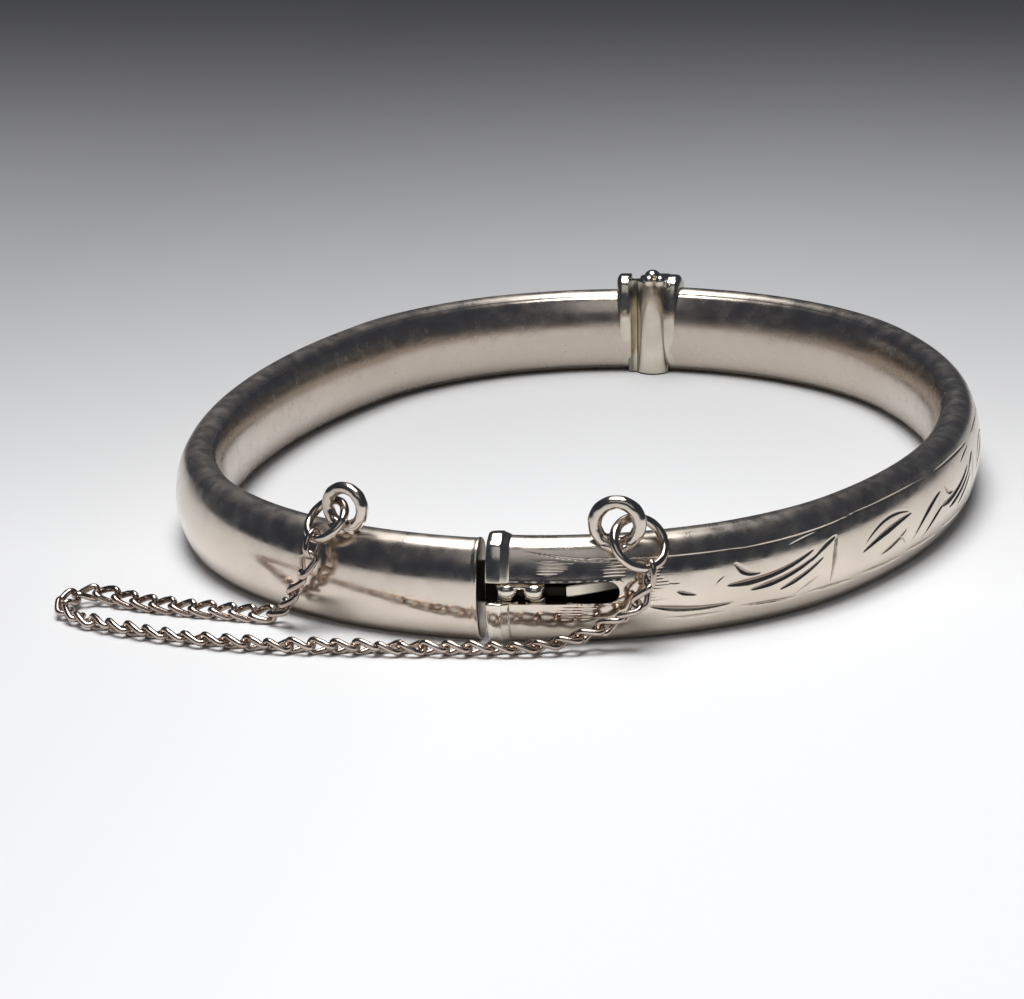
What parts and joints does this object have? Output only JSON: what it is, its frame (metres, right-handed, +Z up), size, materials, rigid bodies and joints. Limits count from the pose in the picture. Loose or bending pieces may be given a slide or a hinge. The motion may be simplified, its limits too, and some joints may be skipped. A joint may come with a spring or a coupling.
{
  "type": "bangle bracelet",
  "caption": "Hinged oval silver bangle, one half plain and one leaf-engraved, with a box clasp, thumb-piece and fine safety chain.",
  "frame": {"origin": "centre of the wrist opening, on the flat plane that the bangle lies on", "axes": "+Z up, square to the plane of the oval; +Y along the oval's long axis towards the hinge, -Y towards the clasp; +X towards the engraved half"},
  "size_m": [0.0547, 0.071, 0.0093],
  "materials": {
    "polished_silver": "polished sterling silver with light wear and faint warm tarnish",
    "engraved_silver": "polished sterling silver, hand engraved, cuts slightly darkened",
    "lining_silver": "polished sterling silver, warm and softly scratched",
    "clasp_silver": "sterling silver, worn and slightly brushed",
    "solder_silver": "silver solder and worn wire, slightly tarnished",
    "chain_silver": "fine silver curb links, warm tarnish"
  },
  "bodies": {
    "engraved_half": {"engraved_outer_shell": "engraved_silver", "engraved_inner_lining": "lining_silver", "mouth_collar": "clasp_silver", "catch_plate": "clasp_silver", "engraved_hinge_knuckles": "clasp_silver", "hinge_pin": "clasp_silver", "engraved_chain_loop": "solder_silver", "safety_chain_1": "chain_silver", "safety_chain_2": "chain_silver", "safety_chain_3": "chain_silver", "safety_chain_4": "chain_silver", "safety_chain_5": "chain_silver", "safety_chain_6": "chain_silver", "safety_chain_7": "chain_silver"},
    "plain_half": {"plain_outer_shell": "polished_silver", "plain_inner_lining": "lining_silver", "plain_clasp_end_plate": "polished_silver", "plain_hinge_knuckle": "clasp_silver", "tongue_base_leaf": "clasp_silver", "plain_chain_loop": "solder_silver", "safety_chain_8": "chain_silver", "safety_chain_9": "chain_silver"},
    "tongue_spring": {"tongue_spring_leaf": "clasp_silver", "thumb_piece": "clasp_silver"},
    "engraved_ring": {"engraved_jump_ring": "solder_silver"},
    "plain_ring": {"plain_jump_ring": "solder_silver"}
  },
  "joints": [
    {"name": "main_hinge", "type": "hinge", "parent": "engraved_half", "child": "plain_half", "pos_m": [0, 0.0316, 0.00325], "axis": [0, 0, -1], "range_deg": [0, 30]},
    {"name": "tongue_press", "type": "hinge", "parent": "plain_half", "child": "tongue_spring", "pos_m": [0.00907, -0.03117, 0.0034], "axis": [0, 0, -1], "range_deg": [0, 6.4], "stiffness_Nm_per_rad": 0.02, "springref_deg": -8.02},
    {"name": "engraved_ring_turn", "type": "hinge", "parent": "engraved_half", "child": "engraved_ring", "pos_m": [0.0089, -0.03238, 0.00637], "axis": [0.5168, -0.5938, 0.6167], "continuous": true},
    {"name": "plain_ring_turn", "type": "hinge", "parent": "plain_half", "child": "plain_ring", "pos_m": [-0.01033, -0.03123, 0.00671], "axis": [-0.4639, -0.5458, 0.6978], "continuous": true}
  ]
}
